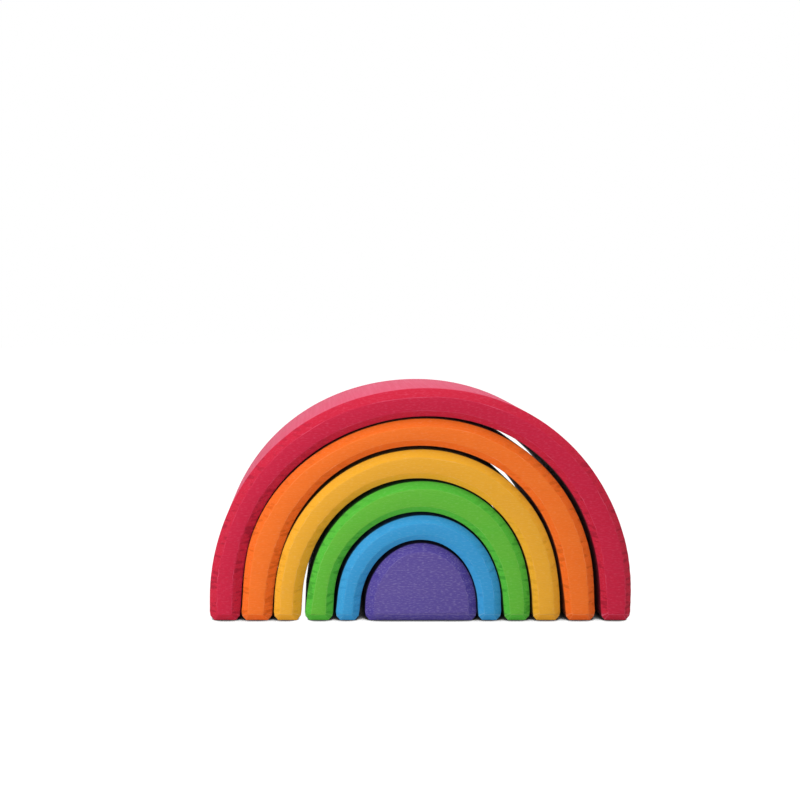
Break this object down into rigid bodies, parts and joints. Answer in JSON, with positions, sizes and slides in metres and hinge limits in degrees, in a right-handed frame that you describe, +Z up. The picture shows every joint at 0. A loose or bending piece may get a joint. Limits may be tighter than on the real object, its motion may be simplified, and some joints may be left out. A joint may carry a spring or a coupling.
{
  "type": "rainbow stacker",
  "caption": "Nesting rainbow stacker of stained limewood arches over a half disc, each a loose solid piece that lifts off for stacking and building.",
  "frame": {"origin": "on the surface that the stack stands on, midway between the red arch's feet and midway front to back", "axes": "+X along the width, from the left foot of the red arch to its right foot as the picture shows them; +Y along the depth, away from the viewer; +Z up"},
  "size_m": [0.17, 0.04, 0.0951],
  "materials": {
    "purple_stained_limewood": "matt water-based stain on sanded limewood, grain showing through",
    "blue_stained_limewood": "matt water-based stain on sanded limewood, grain showing through",
    "green_stained_limewood": "matt water-based stain on sanded limewood, grain showing through",
    "yellow_stained_limewood": "matt water-based stain on sanded limewood, grain showing through",
    "orange_stained_limewood": "matt water-based stain on sanded limewood, grain showing through",
    "red_stained_limewood": "matt water-based stain on sanded limewood, grain showing through"
  },
  "bodies": {
    "purple": {"purple_half_disc": "purple_stained_limewood"},
    "blue": {"blue_arch": "blue_stained_limewood"},
    "green": {"green_arch": "green_stained_limewood"},
    "yellow": {"yellow_arch": "yellow_stained_limewood"},
    "orange": {"orange_arch": "orange_stained_limewood"},
    "red": {"red_arch": "red_stained_limewood"}
  },
  "joints": [
    {"name": "blue_lift", "type": "slide", "parent": "purple", "child": "blue", "axis": [0, 0, 1], "range_m": [0, 0.035]},
    {"name": "green_lift", "type": "slide", "parent": "blue", "child": "green", "axis": [0, 0, 1], "range_m": [0, 0.046]},
    {"name": "yellow_lift", "type": "slide", "parent": "green", "child": "yellow", "axis": [0, 0, 1], "range_m": [0, 0.06]},
    {"name": "orange_lift", "type": "slide", "parent": "yellow", "child": "orange", "axis": [0, 0, 1], "range_m": [0, 0.073]},
    {"name": "red_lift", "type": "slide", "parent": "orange", "child": "red", "axis": [0, 0, 1], "range_m": [0, 0.086]}
  ]
}
